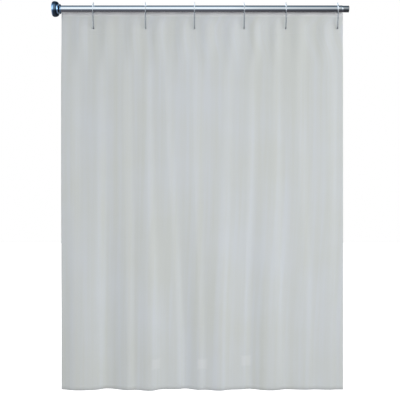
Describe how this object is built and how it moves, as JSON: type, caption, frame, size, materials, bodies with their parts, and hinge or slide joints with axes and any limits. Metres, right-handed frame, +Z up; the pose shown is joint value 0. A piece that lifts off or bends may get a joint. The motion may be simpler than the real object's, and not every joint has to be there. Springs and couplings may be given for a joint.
{
  "type": "shower curtain",
  "caption": "Translucent shower curtain with magnets above its hem, hung by wire hooks from a chrome twist-lock tension rod.",
  "frame": {"origin": "where the rod's axis meets the left wall, at the outer face of the rubber foot", "axes": "+X along the rod to its right end, +Z up, -Y towards the room"},
  "size_m": [1.4422, 0.0754, 1.8902],
  "materials": {
    "sheet_film": "frosted embossed film",
    "eyelet_plastic": "clear white moulding",
    "hook_wire": "nickel-plated wire",
    "rod_chrome": "polished chrome plate",
    "flange_chrome": "polished chrome plate",
    "foot_rubber": "moulded matt",
    "black_moulding": "moulded",
    "nylon": "moulded",
    "spring_steel": "drawn wire",
    "magnet_rubber": "flexible magnet sheet"
  },
  "bodies": {
    "wall_foot": {"foot_pad": "foot_rubber", "end_flange": "flange_chrome", "foot_plunger": "black_moulding", "tension_spring": "spring_steel"},
    "rod_tube": {"outer_tube": "rod_chrome", "tube_collar": "flange_chrome", "spring_seat": "black_moulding"},
    "lock_bush": {"guide_bush": "nylon"},
    "inner_rod": {"inner_tube": "rod_chrome", "right_foot": "foot_rubber", "cam_spigot": "black_moulding"},
    "cam_lobe": {"cam_lobe": "nylon"},
    "curtain": {"curtain_sheet": "sheet_film", "header_band": "sheet_film", "bottom_hem": "sheet_film", "magnet_pocket_1": "sheet_film", "magnet_pocket_2": "sheet_film", "magnet_pocket_3": "sheet_film", "magnet_1": "magnet_rubber", "magnet_2": "magnet_rubber", "magnet_3": "magnet_rubber"},
    "hook_6_set": {"hook_6": "hook_wire", "eyelet_6": "eyelet_plastic"},
    "hook_1_set": {"hook_1": "hook_wire", "eyelet_1": "eyelet_plastic"},
    "hook_2_set": {"hook_2": "hook_wire", "eyelet_2": "eyelet_plastic"},
    "hook_3_set": {"hook_3": "hook_wire", "eyelet_3": "eyelet_plastic"},
    "hook_4_set": {"hook_4": "hook_wire", "eyelet_4": "eyelet_plastic"},
    "hook_5_set": {"hook_5": "hook_wire", "eyelet_5": "eyelet_plastic"}
  },
  "joints": [
    {"name": "foot_press", "type": "slide", "parent": "wall_foot", "child": "rod_tube", "axis": [1, 0, 0], "range_m": [-0.0035, 0], "stiffness_N_per_m": 4000, "deforming": ["tension_spring"]},
    {"name": "rod_extend", "type": "slide", "parent": "rod_tube", "child": "lock_bush", "axis": [1, 0, 0], "range_m": [-0.02, 0.3]},
    {"name": "rod_twist", "type": "hinge", "parent": "lock_bush", "child": "inner_rod", "pos_m": [0.89, 0, 0], "axis": [1, 0, 0], "range_deg": [0, 50]},
    {"name": "cam_turn", "type": "hinge", "parent": "inner_rod", "child": "cam_lobe", "pos_m": [0.908, 0, 0.0015], "axis": [1, 0, 0], "range_deg": [-50.1, 0.1]},
    {"name": "curtain_swing", "type": "hinge", "parent": "rod_tube", "child": "curtain", "pos_m": [0.7288, 0, 0], "axis": [1, 0, 0], "range_deg": [-45, 45]},
    {"name": "draw", "type": "slide", "parent": "curtain", "child": "hook_6_set", "axis": [-1, 0, 0], "range_m": [0, 0.8745], "deforming": ["curtain_sheet", "header_band", "bottom_hem", "magnet_pocket_1", "magnet_pocket_2", "magnet_pocket_3", "magnet_1", "magnet_2", "magnet_3"]},
    {"name": "hook_1_slide", "type": "slide", "parent": "curtain", "child": "hook_1_set", "axis": [-1, 0, 0], "range_m": [-0.0005, 0.10199]},
    {"name": "hook_2_slide", "type": "slide", "parent": "curtain", "child": "hook_2_set", "axis": [-1, 0, 0], "range_m": [-0.0005, 0.26735]},
    {"name": "hook_3_slide", "type": "slide", "parent": "curtain", "child": "hook_3_set", "axis": [-1, 0, 0], "range_m": [-0.0005, 0.42201]},
    {"name": "hook_4_slide", "type": "slide", "parent": "curtain", "child": "hook_4_set", "axis": [-1, 0, 0], "range_m": [-0.0005, 0.57916]},
    {"name": "hook_5_slide", "type": "slide", "parent": "curtain", "child": "hook_5_set", "axis": [-1, 0, 0], "range_m": [-0.0005, 0.71125]}
  ],
  "couplings": [
    {"joint": "cam_turn", "follows": "rod_twist", "ratio": -1},
    {"joint": "hook_1_slide", "follows": "draw", "ratio": 0.11606},
    {"joint": "hook_2_slide", "follows": "draw", "ratio": 0.30515},
    {"joint": "hook_3_slide", "follows": "draw", "ratio": 0.482},
    {"joint": "hook_4_slide", "follows": "draw", "ratio": 0.6617},
    {"joint": "hook_5_slide", "follows": "draw", "ratio": 0.81275}
  ]
}
